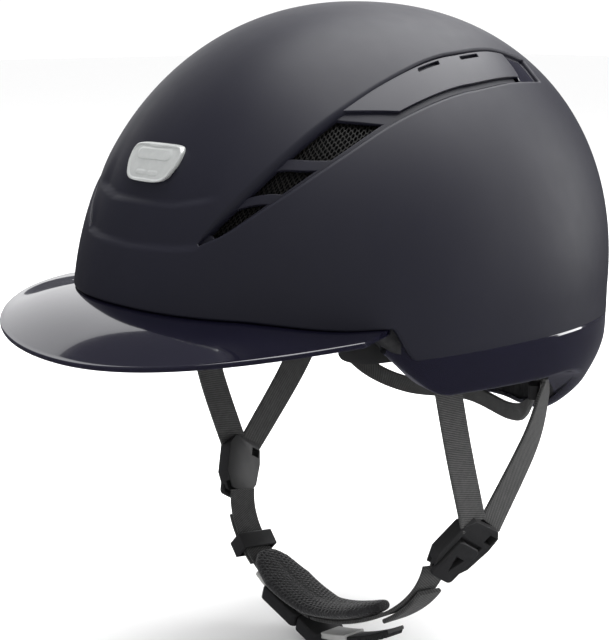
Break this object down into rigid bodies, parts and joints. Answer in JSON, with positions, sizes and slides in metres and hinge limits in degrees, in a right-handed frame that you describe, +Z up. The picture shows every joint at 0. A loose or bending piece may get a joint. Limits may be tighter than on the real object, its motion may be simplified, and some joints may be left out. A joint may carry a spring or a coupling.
{
  "type": "riding helmet",
  "caption": "Peaked riding helmet with a vented matte shell, gloss peak and nape band, dial-adjusted fit ring and a webbing harness with a magnetic chin buckle.",
  "frame": {"origin": "middle of the head opening at the shell's widest level, on the centre plane", "axes": "-Y is where the wearer looks, +X the wearer's left, +Z up"},
  "size_m": [0.2138, 0.3002, 0.3099],
  "materials": {
    "shell_matte": "soft-touch matte lacquer",
    "navy_gloss": "high gloss lacquer",
    "badge_silver": "satin face, polished rim",
    "vent_mesh": "moulded honeycomb",
    "liner_foam": "expanded foam beads",
    "pad_fabric": "spacer mesh",
    "webbing": "twill woven polyester",
    "fitting_black": "fine moulded grain",
    "insert_grey": "smooth moulded",
    "magnet_steel": "plated"
  },
  "bodies": {
    "helmet": {"badge": "badge_silver", "buckle_magnet": "magnet_steel", "buckle_receiver": "fitting_black", "chin_pad": "pad_fabric", "chin_strap_left": "webbing", "chin_strap_right": "webbing", "crown_pad": "pad_fabric", "dial_housing": "fitting_black", "divider_left": "fitting_black", "divider_right": "fitting_black", "front_anchor_left": "fitting_black", "front_anchor_right": "fitting_black", "front_pad": "pad_fabric", "front_strap_left": "webbing", "front_strap_right": "webbing", "gloss_band": "navy_gloss", "impact_liner": "liner_foam", "nape_cradle": "pad_fabric", "nape_strap": "webbing", "outer_shell": "shell_matte", "peak": "navy_gloss", "rear_anchor_left": "fitting_black", "rear_anchor_right": "fitting_black", "rear_pad": "pad_fabric", "rear_strap_left": "webbing", "rear_strap_right": "webbing", "side_pad_left": "pad_fabric", "side_pad_right": "pad_fabric", "strap_tail_left": "webbing", "strap_tail_right": "webbing", "vent_cover_left": "shell_matte", "vent_cover_right": "shell_matte", "vent_frame_left": "shell_matte", "vent_frame_right": "shell_matte", "vent_mesh_left": "vent_mesh", "vent_mesh_right": "vent_mesh", "vent_outlet_left": "navy_gloss", "vent_outlet_right": "navy_gloss"},
    "dial": {"dial_wheel": "fitting_black", "dial_pinion": "fitting_black"},
    "fit_left": {"ring_band_left": "fitting_black", "rack_left": "fitting_black"},
    "fit_right": {"ring_band_right": "fitting_black", "rack_right": "fitting_black"},
    "lever_left": {"cam_lever_left": "fitting_black"},
    "lever_right": {"cam_lever_right": "fitting_black"},
    "keeper": {"keeper_loop": "fitting_black"},
    "tongue": {"buckle_tongue": "fitting_black", "buckle_insert": "insert_grey", "toothed_strip": "fitting_black"},
    "tab": {"release_tab": "insert_grey"}
  },
  "joints": [
    {"name": "dial_spin", "type": "hinge", "parent": "helmet", "child": "dial", "pos_m": [0, 0.0958, -0.036], "axis": [0, -1, 0], "range_deg": [0, 65]},
    {"name": "fit_left_slide", "type": "slide", "parent": "helmet", "child": "fit_left", "axis": [-1, 0, 0], "range_m": [0, 0.0056]},
    {"name": "fit_right_slide", "type": "slide", "parent": "helmet", "child": "fit_right", "axis": [1, 0, 0], "range_m": [0, 0.0058]},
    {"name": "lever_left_hinge", "type": "hinge", "parent": "helmet", "child": "lever_left", "pos_m": [0.08526, 0.00529, -0.10704], "axis": [0, -0.8423, 0.539], "range_deg": [0, 60]},
    {"name": "lever_right_hinge", "type": "hinge", "parent": "helmet", "child": "lever_right", "pos_m": [-0.08526, 0.00529, -0.10704], "axis": [0, 0.8423, -0.539], "range_deg": [0, 60]},
    {"name": "keeper_slide", "type": "slide", "parent": "helmet", "child": "keeper", "axis": [-0.7322, 0.1059, 0.6728], "range_m": [0, 0.006]},
    {"name": "tongue_slide", "type": "slide", "parent": "helmet", "child": "tongue", "axis": [0.9569, -0.0409, -0.2874], "range_m": [0, 0.012]},
    {"name": "tab_hinge", "type": "hinge", "parent": "helmet", "child": "tab", "pos_m": [-0.038, -0.00657, -0.15773], "axis": [0, -1, 0], "range_deg": [0, 20]}
  ],
  "couplings": [
    {"joint": "dial_spin", "follows": "fit_left_slide", "rad_per_m": 200},
    {"joint": "fit_right_slide", "follows": "fit_left_slide", "ratio": 1}
  ]
}
